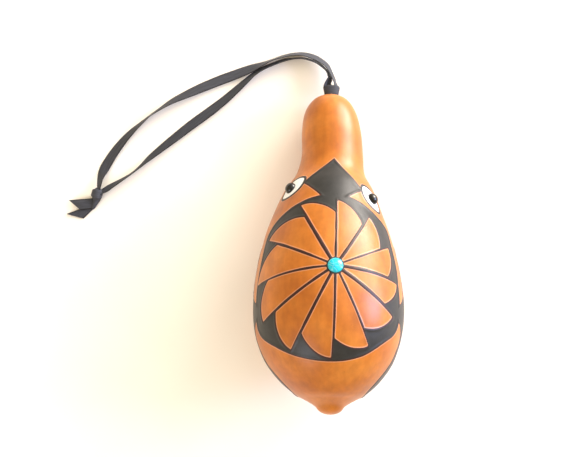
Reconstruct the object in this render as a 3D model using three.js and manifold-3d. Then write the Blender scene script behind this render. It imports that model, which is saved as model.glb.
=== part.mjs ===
// A painted gourd ornament, lying on its back: one dried bottle gourd, a turquoise cabochon set in its front,
// two black bead eyes, a wire screw eye in its stem end, and a narrow ribbon hitched to the screw eye and
// knotted into a loop.
// Millimetres, +Z up. The table is z = 0, the neck points along +Y, and the origin is the spot it rests on.

import * as THREE from "three";
import { mergeVertices } from "three/addons/utils/BufferGeometryUtils.js";
import Module from "manifold-3d";

const wasm = await Module();
wasm.setup();

// Clearance between pieces that touch
const GAP = 0.3;

// Gourd: points of its outline as [station along the axis, radius], from the blossom nub to the stem end.
// Station 0 is the widest place.
const OUTLINE = [
  [-44.7, 0], [-44.3, 2.5], [-43.2, 4.5], [-41.2, 6.3], [-38.8, 10.4], [-36.5, 14.7], [-31, 20.9],
  [-23, 26.6], [-12, 30.3], [0, 31.3], [14, 29.9], [28, 26.8], [40, 22.8], [49, 19.3], [57, 14.9],
  [66, 13.5], [77, 13.1], [86, 11.6], [91.8, 8.4], [94.5, 4], [95.3, 0],
];
// It grew a little crooked: how far its middle lies towards +X, as [station, sway]
const SWAY = [
  [-44.7, 1.2], [-38, 0.9], [-20, 0.2], [0, 0], [20, -0.4], [40, -0.5], [57, 0.4], [65, 1.1], [72, 0.95],
  [80, 0.45], [88, 0], [95.3, 0],
];
const STEPS_PER_SPAN = 2;
const GOURD_SIDES = 40;
const STEM_END = OUTLINE[OUTLINE.length - 1][0];
const CLOSE_ENOUGH = 1e-6;

// Lying at rest: the slim neck sinks until the weight is over the belly's flat spot
const NECK_DROP = THREE.MathUtils.degToRad(14);
const SPOT_DEPTH = 0.6;
const TABLE_BLOCK = 200;

// Cabochon at the hub of the painted wheel. Angles go round the axis from the top of the gourd, towards +X.
const CABOCHON = { station: 9.5, angle: 2, radius: 3, girdle: 0.7, height: 2.2, sunk: 0.5 };

// Bead eyes on the shoulders, placed by eye and not quite level
const BEAD = { radius: 2.5, girdle: 0.5, height: 2.6, sunk: 0.3 };
const BEAD_PLACES = [
  { name: "bead_eye_left", station: 46.8, angle: -55 },
  { name: "bead_eye_right", station: 42.5, angle: 53 },
];
const DOME_SIDES = 24;
const DOME_STEPS = 6;

// Screw eye: a wire ring that lies level with the axis, on a shank driven into the stem end
const EYE_WIRE = 0.55;
const EYE_RING = 2;
const EYE_STATION = 98.6;
const SHANK_RADIUS = 0.8;
const SHANK_START = 88.5;
const WIRE_SIDES = 8;
const RING_SIDES = 20;

// Ribbon
const RIBBON_WIDTH = 5;
const RIBBON_THICK = 0.5;
const STRAND_STEPS = 36;

// Hitch round the screw eye: its outline seen from above, as [x, station]
const HITCH_OUTLINE = [[-2.3, 96.2], [3.1, 96.2], [4.1, 99.9], [2.1, 103.6], [-1.5, 103.6], [-3.2, 99.9]];
const HITCH_THICK = 4.2;

// The two strands from the hitch to the knot, as [x, y, height of the lower edge, roll in degrees].
// Roll 0 lies flat and roll 90 stands on edge.
const STRAND_ROUTES = {
  ribbon_strand_outer: [
    [1.4, 83.9, 4.4, 66], [0, 87.2, 3.6, 66], [-2, 90.6, 2.6, 56], [-5.4, 93.3, 1.6, 50],
    [-8.8, 95, 0.8, 50], [-12.8, 96, 0.2, 56], [-17.4, 95.8, 0, 62], [-22.1, 94.6, 0, 65],
    [-26.9, 92.9, 0, 70], [-31.6, 90.8, 0, 54], [-37, 88.6, 0, 28], [-44, 85.8, 0, 16], [-51, 83, 0, 14],
    [-59.8, 79, 0, 21], [-67, 75.4, 0, 36], [-72.7, 72.3, 0, 50], [-77.8, 68.8, 0, 64],
    [-82.2, 65.6, 0, 70], [-86.4, 61.8, 0, 60], [-90, 58.4, 0, 47], [-93.9, 54.1, 0, 36],
    [-97.7, 49, 0, 26], [-100.4, 44.7, 0, 19], [-102.5, 40.7, 0, 18], [-103.8, 36.5, 0.2, 42],
    [-104.2, 32.8, 0.4, 54],
  ],
  ribbon_strand_inner: [
    [-0.2, 83.9, 4.4, 66], [-1.2, 86.8, 3.6, 70], [-3.1, 89.3, 2.6, 66], [-6.2, 91.8, 1.6, 66],
    [-9.4, 93.2, 0.8, 66], [-12.9, 94, 0.2, 68], [-17.2, 93.8, 0, 68], [-21.5, 92.9, 0, 62],
    [-26.2, 91.1, 0, 60], [-31, 88.9, 0, 58], [-34.9, 86.3, 0, 56], [-38, 83.5, 0, 50],
    [-42.5, 79.2, 0, 40], [-48.7, 73.5, 0, 29], [-56, 67.6, 0, 20], [-62.6, 62.5, 0, 21],
    [-69.2, 57, 0, 27], [-75.9, 51.3, 0, 38], [-81.7, 46.2, 0, 50], [-85.8, 42.2, 0, 66],
    [-89.4, 39, 0, 72], [-93.6, 36.1, 0, 66], [-97.7, 33.5, 0, 55], [-100.6, 31.6, 0.2, 48],
    [-102.2, 30.4, 0.4, 53],
  ],
};

// Overhand knot that closes the loop, and the two cut tails below it as outlines seen from above
const KNOT = { x: -105.3, y: 28.1, radii: [2.8, 3.7, 2.2], sides: 16, rings: 10 };
const TAILS = [
  {
    name: "ribbon_tail_upper",
    base: 1.1,
    outline: [[-108.4, 26.8], [-118, 25.9], [-112.9, 22.1], [-107.6, 23.2]],
  },
  {
    name: "ribbon_tail_lower",
    base: 0.2,
    outline: [[-107.5, 23.8], [-112.7, 21.9], [-119.1, 19.6], [-111.4, 17.7], [-105.6, 23.2]],
  },
];

const MATERIALS = {
  gourd: { color: 0xd9822b, roughness: 0.45, metalness: 0 },
  cabochon: { color: 0x2fbfcf, roughness: 0.25, metalness: 0 },
  bead: { color: 0x0d0d0e, roughness: 0.08, metalness: 0 },
  wire: { color: 0xb08d4a, roughness: 0.3, metalness: 1 },
  ribbon: { color: 0x3a3634, roughness: 0.5, metalness: 0 },
};

const outline = new THREE.SplineCurve(OUTLINE.map(([station, radius]) => new THREE.Vector2(radius, station)));
const sway = new THREE.SplineCurve(SWAY.map(([station, aside]) => new THREE.Vector2(aside, station)));

function mesh(name, geometry, finish) {
  const part = new THREE.Mesh(geometry, new THREE.MeshStandardMaterial(MATERIALS[finish]));
  part.name = name;
  return part;
}

// A closed solid for joining and cutting, from a geometry's positions alone
function solidOf(geometry) {
  const bare = geometry.clone();
  bare.deleteAttribute("normal");
  bare.deleteAttribute("uv");
  const merged = mergeVertices(bare);
  const kept = [];
  for (let i = 0; i < merged.index.count; i += 3) {
    const corners = [0, 1, 2].map((k) => merged.index.getX(i + k));
    if (new Set(corners).size === 3) {
      kept.push(...corners);
    }
  }
  const vertProperties = merged.attributes.position.array;
  const triVerts = new Uint32Array(kept);
  return new wasm.Manifold(new wasm.Mesh({ numProp: 3, vertProperties, triVerts }));
}

function geometryOf(solid) {
  const { vertProperties, triVerts } = solid.getMesh();
  const geometry = new THREE.BufferGeometry();
  geometry.setAttribute("position", new THREE.BufferAttribute(vertProperties, 3));
  geometry.setIndex(new THREE.BufferAttribute(triVerts, 1));
  geometry.computeVertexNormals();
  return geometry;
}

// The gourd's frame at rest: the neck turned down, the belly's lowest point sunk by the flat spot's depth
function restFrame() {
  const lowest = outline.getPoints(400).map(({ x: radius, y: station }) => ({
    y: station * Math.cos(NECK_DROP) - radius * Math.sin(NECK_DROP),
    z: -station * Math.sin(NECK_DROP) - radius * Math.cos(NECK_DROP),
  })).reduce((low, point) => (point.z < low.z ? point : low));
  const frame = new THREE.Group();
  frame.rotation.x = -NECK_DROP;
  frame.position.set(0, -lowest.y, -lowest.z - SPOT_DEPTH);
  frame.updateMatrixWorld();
  return frame;
}

// Where along a curve of values by station the station is reached, found by halving
function stationOn(curve, station) {
  let low = 0;
  let high = 1;
  while (high - low > CLOSE_ENOUGH) {
    const middle = (low + high) / 2;
    [low, high] = curve.getPoint(middle).y < station ? [middle, high] : [low, middle];
  }
  return low;
}

function swayAt(station) {
  return sway.getPoint(stationOn(sway, station)).x;
}

// Point and outward normal of the gourd's skin at a station and an angle round the axis, as a matrix whose
// Y axis is the normal
function skinFrame({ station, angle }) {
  const place = stationOn(outline, station);
  const { x: radius } = outline.getPoint(place);
  const { x: outward, y: along } = outline.getTangent(place);
  const turn = new THREE.Matrix4().makeRotationY(THREE.MathUtils.degToRad(angle));
  const normal = new THREE.Vector3(0, -outward, along).applyMatrix4(turn);
  const point = new THREE.Vector3(0, station, radius).applyMatrix4(turn);
  point.x += swayAt(station);
  const upright = new THREE.Quaternion().setFromUnitVectors(new THREE.Vector3(0, 1, 0), normal);
  return new THREE.Matrix4().compose(point, upright, new THREE.Vector3(1, 1, 1));
}

// Flat-backed dome standing along Y, sunk a little below y = 0
function dome({ radius, girdle, height, sunk }) {
  const rise = height - girdle;
  const profile = [new THREE.Vector2(0, -sunk), new THREE.Vector2(radius, -sunk)];
  for (let i = 0; i < DOME_STEPS; i += 1) {
    const angle = (i / DOME_STEPS) * (Math.PI / 2);
    profile.push(new THREE.Vector2(radius * Math.cos(angle), girdle - sunk + rise * Math.sin(angle)));
  }
  profile.push(new THREE.Vector2(0, height - sunk));
  return new THREE.LatheGeometry(profile, DOME_SIDES);
}

// Round pocket that a dome is glued into
function seat({ radius, height, sunk }) {
  const depth = height + sunk + GAP;
  const pocket = new THREE.CylinderGeometry(radius + GAP, radius + GAP, depth, DOME_SIDES);
  return pocket.translate(0, depth / 2 - sunk - GAP, 0);
}

function gourd(frame) {
  const profile = outline.getPoints((OUTLINE.length - 1) * STEPS_PER_SPAN);
  const turned = new THREE.LatheGeometry(profile, GOURD_SIDES);
  const { position } = turned.attributes;
  for (let i = 0; i < position.count; i += 1) {
    position.setX(i, position.getX(i) + swayAt(position.getY(i)));
  }
  const table = new THREE.BoxGeometry(TABLE_BLOCK, TABLE_BLOCK, TABLE_BLOCK);
  table.translate(0, 0, -TABLE_BLOCK / 2).applyMatrix4(frame.matrixWorld.clone().invert());
  const hole = SHANK_RADIUS + GAP;
  const holeDepth = STEM_END - SHANK_START + 2 * GAP;
  const shankHole = new THREE.CylinderGeometry(hole, hole, holeDepth, WIRE_SIDES);
  shankHole.translate(0, SHANK_START - GAP + holeDepth / 2, 0);
  const pockets = [
    seat(CABOCHON).applyMatrix4(skinFrame(CABOCHON)),
    ...BEAD_PLACES.map((place) => seat(BEAD).applyMatrix4(skinFrame(place))),
  ];
  const cuts = [table, shankHole, ...pockets];
  return geometryOf(cuts.reduce((solid, cut) => solid.subtract(solidOf(cut)), solidOf(turned)));
}

// Ring and shank of the screw eye, with the wire swollen by a clearance where a hole for it is wanted
function screwEye(clearance = 0) {
  const wire = EYE_WIRE + clearance;
  const ring = new THREE.TorusGeometry(EYE_RING, wire, WIRE_SIDES, RING_SIDES).translate(0, EYE_STATION, 0);
  const shankLength = EYE_STATION - EYE_RING - SHANK_START;
  const shank = new THREE.CylinderGeometry(
    SHANK_RADIUS + clearance, SHANK_RADIUS + clearance, shankLength, WIRE_SIDES,
  ).translate(0, SHANK_START + shankLength / 2, 0);
  return solidOf(ring).add(solidOf(shank));
}

function plate(points, thickness) {
  const shape = new THREE.Shape(points.map(([x, y]) => new THREE.Vector2(x, y)));
  return new THREE.ExtrudeGeometry(shape, { depth: thickness, bevelEnabled: false });
}

function hitch() {
  const block = plate(HITCH_OUTLINE, HITCH_THICK).translate(0, 0, -HITCH_THICK / 2);
  return geometryOf(solidOf(block).subtract(screwEye(GAP)));
}

// A ribbon section swept along a route, turning about its middle by the roll given at each point
function strand(route) {
  const half = RIBBON_WIDTH / 2;
  const thin = RIBBON_THICK / 2;
  const edge = half - thin / 2;
  const section = new THREE.Shape([
    [edge, -thin], [half, -thin / 2], [half, thin / 2], [edge, thin],
    [-edge, thin], [-half, thin / 2], [-half, -thin / 2], [-edge, -thin],
  ].map(([x, y]) => new THREE.Vector2(x, y)));
  const path = new THREE.CatmullRomCurve3(route.map(([x, y, lift, roll]) => {
    const angle = THREE.MathUtils.degToRad(roll);
    const rise = half * Math.abs(Math.sin(angle)) + thin * Math.abs(Math.cos(angle));
    return new THREE.Vector3(x, y, lift + rise + GAP / 2);
  }));
  const rollAt = (t) => {
    const place = t * (route.length - 1);
    const before = Math.min(Math.floor(place), route.length - 2);
    const degrees = THREE.MathUtils.lerp(route[before][3], route[before + 1][3], place - before);
    return THREE.MathUtils.degToRad(degrees);
  };
  const straight = new THREE.ExtrudeGeometry(section, { depth: 1, steps: STRAND_STEPS, bevelEnabled: false });
  const { position } = straight.attributes;
  const up = new THREE.Vector3(0, 0, 1);
  for (let i = 0; i < position.count; i += 1) {
    const t = position.getZ(i);
    const tangent = path.getTangent(t);
    const aside = new THREE.Vector3().crossVectors(up, tangent).normalize();
    const above = new THREE.Vector3().crossVectors(tangent, aside);
    const roll = rollAt(t);
    const across = position.getX(i) * Math.cos(roll) - position.getY(i) * Math.sin(roll);
    const high = position.getX(i) * Math.sin(roll) + position.getY(i) * Math.cos(roll);
    const point = path.getPoint(t).addScaledVector(aside, across).addScaledVector(above, high);
    position.setXYZ(i, point.x, point.y, point.z);
  }
  straight.computeVertexNormals();
  return straight;
}

function knot() {
  const ball = new THREE.SphereGeometry(1, KNOT.sides, KNOT.rings);
  return ball.scale(...KNOT.radii).translate(KNOT.x, KNOT.y, KNOT.radii[2] + GAP / 2);
}

const resting = restFrame();
resting.add(mesh("gourd", gourd(resting), "gourd"));
resting.add(mesh("hub_cabochon", dome(CABOCHON).applyMatrix4(skinFrame(CABOCHON)), "cabochon"));
for (const place of BEAD_PLACES) {
  resting.add(mesh(place.name, dome(BEAD).applyMatrix4(skinFrame(place)), "bead"));
}
resting.add(mesh("screw_eye", geometryOf(screwEye()), "wire"));
resting.add(mesh("ribbon_hitch", hitch(), "ribbon"));

const ornament = new THREE.Group();
ornament.add(resting);
for (const [name, route] of Object.entries(STRAND_ROUTES)) {
  ornament.add(mesh(name, strand(route), "ribbon"));
}
ornament.add(mesh("ribbon_knot", knot(), "ribbon"));
for (const { name, base, outline: points } of TAILS) {
  ornament.add(mesh(name, plate(points, RIBBON_THICK).translate(0, 0, base), "ribbon"));
}

export default ornament;
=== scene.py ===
# %% [markdown]
# # A painted gourd ornament
# The real thing is a small dried bottle gourd, dyed orange and varnished. A wheel of curved blades, a kite
# head and two eyes are burnt and painted on its front, a turquoise cabochon marks the hub, two glossy beads
# are the eyes' pupils, and a black satin ribbon is hitched to a screw eye in the stem end.
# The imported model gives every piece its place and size. This lesson makes the pieces that are seen.

# %% Load the frame
import math

import bpy
import numpy as np
from mathutils import Matrix, Vector


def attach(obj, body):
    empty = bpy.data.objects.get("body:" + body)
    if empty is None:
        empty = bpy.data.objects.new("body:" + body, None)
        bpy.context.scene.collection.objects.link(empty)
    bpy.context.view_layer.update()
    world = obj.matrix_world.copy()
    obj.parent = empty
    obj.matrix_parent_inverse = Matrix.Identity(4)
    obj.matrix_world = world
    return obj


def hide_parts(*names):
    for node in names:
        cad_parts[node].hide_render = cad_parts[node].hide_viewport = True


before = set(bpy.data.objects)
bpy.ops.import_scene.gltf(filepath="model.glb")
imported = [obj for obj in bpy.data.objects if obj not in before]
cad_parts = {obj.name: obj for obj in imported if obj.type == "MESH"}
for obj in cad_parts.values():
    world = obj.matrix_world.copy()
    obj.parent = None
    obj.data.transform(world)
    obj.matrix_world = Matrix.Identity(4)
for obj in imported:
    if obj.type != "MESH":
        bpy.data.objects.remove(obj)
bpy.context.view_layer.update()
scene = bpy.context.scene
MM = 0.001


# %% [markdown]
# ## Camera
# The photograph looks almost straight down. A camera at the same angle and distance gives the same
# foreshortening, so the picture can be compared with it point by point.

# %% Camera
PHOTO_WIDTH = 570
FOCAL_PIXELS = 800
SENSOR = 36
VIEW_LEAN = math.radians(2.5)
VIEW_TURN = math.radians(1.5)
VIEW_AIM = Vector((-18.9, 15.6, 0)) * MM
VIEW_DISTANCE = 367 * MM
NEAR_CLIP = 10 * MM

lens = bpy.data.cameras.new("photo_camera")
lens.sensor_width = SENSOR
lens.lens = SENSOR * FOCAL_PIXELS / PHOTO_WIDTH
lens.clip_start = NEAR_CLIP
camera = bpy.data.objects.new("photo_camera", lens)
camera.rotation_euler = (VIEW_LEAN, 0, VIEW_TURN)
camera.location = VIEW_AIM + camera.rotation_euler.to_matrix() @ Vector((0, 0, VIEW_DISTANCE))
scene.collection.objects.link(camera)
scene.camera = camera
print(f"Camera: {lens.lens:.1f} mm lens, {camera.location.z / MM:.0f} mm above the table")


# %% [markdown]
# ## Colours and nodes
# Materials and Geometry Nodes are both node trees, so one function that adds a node, sets it and links it
# serves for all of them. Colours are written as the sRGB hex values that a paint program shows, and Blender
# wants linear light, so one function turns the one into the other.

# %% Colours and nodes
def linear(hex_colour):
    """An sRGB hex colour as linear RGBA."""
    channels = [int(hex_colour[i:i + 2], 16) / 255 for i in (1, 3, 5)]
    return [c / 12.92 if c <= 0.04045 else ((c + 0.055) / 1.055) ** 2.4 for c in channels] + [1.0]


def fill(node, inputs):
    """Sets or links a node's inputs, each given by its name or its number."""
    for key, value in inputs.items():
        named = [socket for socket in node.inputs if socket.enabled and socket.name == key]
        socket = named[0] if named else node.inputs[key]
        if isinstance(value, bpy.types.NodeSocket):
            node.id_data.links.new(value, socket)
        else:
            socket.default_value = value


def add_node(tree, kind, inputs=None, output=None, stops=(), **settings):
    """Adds a node with its settings and links, and returns one of its outputs, the first unless named."""
    node = tree.nodes.new(kind)
    for name, value in settings.items():
        setattr(node, name, value)
    fill(node, inputs or {})
    for number, (position, colour) in enumerate(stops):
        ramp = node.color_ramp.elements
        stop = ramp[number] if number < 2 else ramp.new(position)
        stop.position = position
        stop.color = colour
    shown = [socket for socket in node.outputs if socket.enabled]
    return next((socket for socket in shown if socket.name == output), shown[0] if shown else None)


def new_finish(name):
    """An empty material and its shader."""
    material = bpy.data.materials.new(name)
    material.use_nodes = True
    return material, material.node_tree, material.node_tree.nodes["Principled BSDF"]


print("Mid grey in linear light:", round(linear("#808080")[0], 3))


# %% [markdown]
# ## Satin of the ribbon
# The ribbon is black polyester satin. Long threads float on its face, so it has a soft sheen along its
# length, and a firm corded edge on each side looks darker. Each swept ribbon stores how far along and how
# far across it a point lies, and the finish reads these two, so the threads follow every turn.

# %% Satin finish
RIBBON_WIDTH = 5.0
# Real threads are about 0.1 mm apart, too fine to show: these are drawn four times as coarse.
SATIN_THREAD = 0.4
SATIN_FLOAT = 6.0
SATIN_EDGE = 0.55


def woven_satin():
    """Woven polyester satin: charcoal with a lengthwise gleam and darker corded edges."""
    material, tree, shader = new_finish("black_polyester_satin_woven")
    along = add_node(tree, "ShaderNodeAttribute", output="Fac", attribute_name="along")
    across = add_node(tree, "ShaderNodeAttribute", output="Fac", attribute_name="across")
    thread = add_node(tree, "ShaderNodeMath", {0: across, 1: SATIN_THREAD * MM}, operation="DIVIDE")
    length = add_node(tree, "ShaderNodeMath", {0: along, 1: SATIN_FLOAT * MM}, operation="DIVIDE")
    weave = add_node(tree, "ShaderNodeCombineXYZ", {"X": thread, "Y": length})
    floats = add_node(tree, "ShaderNodeTexNoise", {"Vector": weave, "Scale": 1.0, "Detail": 3.0})
    cloth = add_node(
        tree, "ShaderNodeValToRGB", {"Fac": floats},
        stops=((0.3, linear("#35373d")), (0.7, linear("#464850"))),
    )
    from_middle = add_node(tree, "ShaderNodeMath", {0: across}, operation="ABSOLUTE")
    half = RIBBON_WIDTH / 2 * MM
    edge = add_node(
        tree, "ShaderNodeMapRange",
        {"Value": from_middle, "From Min": half - SATIN_EDGE * MM, "From Max": half - SATIN_EDGE / 3 * MM},
        interpolation_type="SMOOTHSTEP",
    )
    colour = add_node(
        tree, "ShaderNodeMix", {"Factor": edge, "A": cloth, "B": linear("#1c1b1c")}, data_type="RGBA",
    )
    gloss = add_node(tree, "ShaderNodeMapRange", {"Value": floats, "To Min": 0.58, "To Max": 0.7})
    relief = add_node(
        tree, "ShaderNodeBump", {"Strength": 0.35, "Distance": 0.05 * MM, "Height": floats}, output="Normal",
    )
    fill(shader, {
        "Base Color": colour, "Roughness": gloss, "Normal": relief,
        "Anisotropic": 0.5, "IOR": 1.35,
    })
    return material


satin = woven_satin()
print("Finish:", satin.name)


# %% [markdown]
# ## Ribbon section
# A ribbon is a flat strip, and its cut end shows how it is woven: thin in the middle, and a little fuller at
# the two corded edges. The section is a closed line of points, because a sweep needs no more than a line.
# How far across the ribbon each point lies is stored on it, and the sweep hands that on to the finish.

# %% Ribbon section
RIBBON_THICK = 0.3
SECTION_POINTS = 13
CORD_SWELL = 0.12
# Two powers: how square the section's ends are, and how narrow its corded edges.
SQUARE_POWER = 16
CORD_POWER = 8


def polyline(name, points, closed=False, **attributes):
    """A bare line of points in mm, as a mesh of edges for a tree to follow, with values on its points."""
    mesh = bpy.data.meshes.new(name)
    count = len(points)
    edges = [(i, (i + 1) % count) for i in range(count if closed else count - 1)]
    mesh.from_pydata([Vector(point) * MM for point in points], edges, [])
    for label, values in attributes.items():
        values = np.array(values, np.float32)
        kind, field = ("FLOAT_VECTOR", "vector") if values.ndim == 2 else ("FLOAT", "value")
        mesh.attributes.new(label, kind, "POINT").data.foreach_set(field, values.ravel())
    line = bpy.data.objects.new(name, mesh)
    scene.collection.objects.link(line)
    return line


def ribbon_section(width):
    """The ribbon's cut section: thin in the middle, a little fuller at the corded edges."""
    reach = np.linspace(-1, 1, SECTION_POINTS)
    inside = 1 - reach ** SQUARE_POWER
    swell = RIBBON_THICK / 2 * np.sqrt(inside) + CORD_SWELL * np.abs(reach) ** CORD_POWER * inside
    x = reach * width / 2
    upper = np.column_stack([x, swell, 0 * x])
    lower = np.column_stack([x, -swell, 0 * x])[-2:0:-1]
    points = np.vstack([upper, lower])
    return polyline("ribbon_section", points, closed=True, across=points[:, 0] * MM)


FULL_SECTION = ribbon_section(RIBBON_WIDTH)
print("Ribbon section:", len(FULL_SECTION.data.vertices), "points")


# %% [markdown]
# ## Ribbon sweep
# The strands, the hitch and the knot are one ribbon on different lines, so one Geometry Nodes tree sweeps
# the section along any line. A curve with a bevel object would do this too, but it turns the section by
# rules of its own. Here each point of the line says which way the ribbon's width lies, and the tree smooths
# the line, squares the section to it and sweeps.

# %% Ribbon sweep
BEND_STEPS = 12


def new_tree(name, sizes):
    """A Geometry Nodes tree with named inputs, and the sockets that hold what it is given."""
    tree = bpy.data.node_groups.new(name, "GeometryNodeTree")
    tree.interface.new_socket("Geometry", in_out="INPUT", socket_type="NodeSocketGeometry")
    for label, kind in sizes.items():
        tree.interface.new_socket(label, in_out="INPUT", socket_type="NodeSocket" + kind)
    tree.interface.new_socket("Geometry", in_out="OUTPUT", socket_type="NodeSocketGeometry")
    return tree, tree.nodes.new("NodeGroupInput").outputs


def close_tree(tree, geometry, finish):
    """Ends a tree: real meshes, smooth shading, one finish."""
    real = add_node(tree, "GeometryNodeRealizeInstances", {"Geometry": geometry})
    smooth = add_node(tree, "GeometryNodeSetShadeSmooth", {"Geometry": real})
    finished = add_node(tree, "GeometryNodeSetMaterial", {"Geometry": smooth, "Material": finish})
    add_node(tree, "NodeGroupOutput", {"Geometry": finished})
    return tree


def ribbon_sweep():
    """Tree that sweeps a section along a line, squared to the way across that the line's points give."""
    tree, given = new_tree("ribbon_sweep", {"Section": "Object", "Step": "Float", "Finish": "Material"})
    line = add_node(tree, "GeometryNodeMeshToCurve", {"Mesh": given["Geometry"]})
    bent = add_node(tree, "GeometryNodeCurveSplineType", {"Curve": line}, spline_type="CATMULL_ROM")
    fine = add_node(tree, "GeometryNodeSetSplineResolution", {"Geometry": bent, "Resolution": BEND_STEPS})
    even = add_node(
        tree, "GeometryNodeResampleCurve", {"Curve": fine, "Length": given["Step"]}, mode="LENGTH")
    way = add_node(
        tree, "GeometryNodeInputNamedAttribute", {"Name": "way_across"}, data_type="FLOAT_VECTOR",
    )
    tangent = add_node(tree, "GeometryNodeInputTangent")
    slip = add_node(tree, "ShaderNodeVectorMath", {0: way, 1: tangent}, "Value", operation="DOT_PRODUCT")
    astray = add_node(tree, "ShaderNodeVectorMath", {0: tangent, "Scale": slip}, operation="SCALE")
    square = add_node(tree, "ShaderNodeVectorMath", {0: way, 1: astray}, operation="SUBTRACT")
    unit = add_node(tree, "ShaderNodeVectorMath", {0: square}, operation="NORMALIZE")
    turned = add_node(tree, "GeometryNodeSetCurveNormal", {"Curve": even, "Normal": unit}, mode="FREE")
    length = add_node(tree, "GeometryNodeSplineParameter", output="Length")
    marked = add_node(
        tree, "GeometryNodeStoreNamedAttribute",
        {"Geometry": turned, "Name": "along", "Value": length}, data_type="FLOAT", domain="POINT",
    )
    cut = add_node(tree, "GeometryNodeObjectInfo", {"Object": given["Section"]}, "Geometry")
    section = add_node(tree, "GeometryNodeMeshToCurve", {"Mesh": cut})
    fullness = add_node(tree, "GeometryNodeInputNamedAttribute", {"Name": "fullness"}, data_type="FLOAT")
    swept = add_node(tree, "GeometryNodeCurveToMesh", {
        "Curve": marked, "Profile Curve": section, "Scale": fullness, "Fill Caps": True})
    return close_tree(tree, swept, given["Finish"])


SWEEP = ribbon_sweep()
print("Ribbon sweep:", len(SWEEP.nodes), "nodes")


# %% [markdown]
# ## The two strands
# The ribbon lies flat on the table in places, and stands on its edge where it is pulled round a bend. A
# cloth simulation would let it fall as it likes, so a short list of points gives the route, with the height
# of the lower edge and the roll at each one. The tree runs once on each line, and what it makes is kept as a
# plain mesh.

# %% The two strands
RIBBON_STEP = 0.7
TABLE_GAP = 0.15
# Each point is x, y, height of the lower edge, and roll in degrees: 0 lies flat and 90 stands on edge.
STRAND_ROUTES = {
    "ribbon_strand_outer": [
        (1.4, 83.9, 4.4, 66), (0, 87.2, 3.6, 66), (-2, 90.6, 2.6, 56), (-5.4, 93.3, 1.6, 50),
        (-8.8, 95, 0.8, 50), (-12.8, 96, 0.2, 56), (-17.4, 95.8, 0, 62), (-22.1, 94.6, 0, 65),
        (-26.9, 92.9, 0, 70), (-31.6, 90.8, 0, 54), (-37, 88.6, 0, 28), (-44, 85.8, 0, 16),
        (-51, 83, 0, 14), (-59.8, 79, 0, 21), (-67, 75.4, 0, 36), (-72.7, 72.3, 0, 50),
        (-77.8, 68.8, 0, 64), (-82.2, 65.6, 0, 70), (-86.4, 61.8, 0, 60), (-90, 58.4, 0, 47),
        (-93.9, 54.1, 0, 36), (-97.7, 49, 0, 26), (-100.4, 44.7, 0, 19), (-102.5, 40.7, 0, 18),
        (-103.8, 36.5, 0.2, 42), (-104.2, 32.8, 0.4, 54),
    ],
    "ribbon_strand_inner": [
        (-0.2, 83.9, 4.4, 66), (-1.2, 86.8, 3.6, 70), (-3.1, 89.3, 2.6, 66), (-6.2, 91.8, 1.6, 66),
        (-9.4, 93.2, 0.8, 66), (-12.9, 94, 0.2, 68), (-17.2, 93.8, 0, 68), (-21.5, 92.9, 0, 62),
        (-26.2, 91.1, 0, 60), (-31, 88.9, 0, 58), (-34.9, 86.3, 0, 56), (-38, 83.5, 0, 50),
        (-42.5, 79.2, 0, 40), (-48.7, 73.5, 0, 29), (-56, 67.6, 0, 20), (-62.6, 62.5, 0, 21),
        (-69.2, 57, 0, 27), (-75.9, 51.3, 0, 38), (-81.7, 46.2, 0, 50), (-85.8, 42.2, 0, 66),
        (-89.4, 39, 0, 72), (-93.6, 36.1, 0, 66), (-97.7, 33.5, 0, 55), (-100.6, 31.6, 0.2, 48),
        (-102.2, 30.4, 0.4, 53),
    ],
}


def grow(line, tree, sizes):
    """Runs a tree on a line with these sizes, and keeps the result as the object's own plain mesh."""
    modifier = line.modifiers.new(tree.name, "NODES")
    modifier.node_group = tree
    for socket in tree.interface.items_tree:
        if socket.in_out == "INPUT" and socket.name in sizes:
            modifier[socket.identifier] = sizes[socket.name]
    depsgraph = bpy.context.evaluated_depsgraph_get()
    grown = line.evaluated_get(depsgraph)
    mesh = bpy.data.meshes.new_from_object(grown, preserve_all_data_layers=True, depsgraph=depsgraph)
    line.modifiers.remove(modifier)
    line.data = mesh
    mesh.name = line.name
    return line


def sweep_ribbon(
        name, points, way_across, closed=False, section=FULL_SECTION, step=RIBBON_STEP, fullness=1.0):
    """A ribbon along points in mm, with the way that its width lies at each and how full it is there."""
    fullness = np.broadcast_to(fullness, len(points))
    line = polyline(name, points, closed, way_across=way_across, fullness=fullness)
    return grow(line, SWEEP, {"Section": section, "Step": step * MM, "Finish": satin})


def vertex_places(obj):
    """An object's vertices in mm."""
    places = np.empty(len(obj.data.vertices) * 3, np.float32)
    obj.data.vertices.foreach_get("co", places)
    return places.reshape(-1, 3).astype(float) / MM


def lay_strand(name, route):
    """One strand, lying on the table by its lower edge, and the line that it follows."""
    x, y, lift, roll = np.array(route, float).T
    roll = np.radians(roll)
    rise = RIBBON_WIDTH / 2 * np.abs(np.sin(roll)) + RIBBON_THICK / 2 * np.abs(np.cos(roll))
    points = np.column_stack([x, y, lift + rise + TABLE_GAP])
    heading = np.arctan2(np.gradient(y), np.gradient(x))
    way_across = np.column_stack([
        -np.sin(heading) * np.cos(roll), np.cos(heading) * np.cos(roll), np.sin(roll)])
    strand = sweep_ribbon(name, points, way_across)
    ring_points = len(FULL_SECTION.data.vertices)
    places = vertex_places(strand)
    middles = places[:len(places) // ring_points * ring_points].reshape(-1, ring_points, 3).mean(axis=1)
    length = np.linalg.norm(np.diff(middles, axis=0), axis=1).sum()
    print(f"{name}: {length:.1f} mm long")
    return {"piece": strand, "line": middles, "length": length,
            "first_way": way_across[0], "last_way": way_across[-1]}


strands = {name: lay_strand(name, route) for name, route in STRAND_ROUTES.items()}
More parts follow.
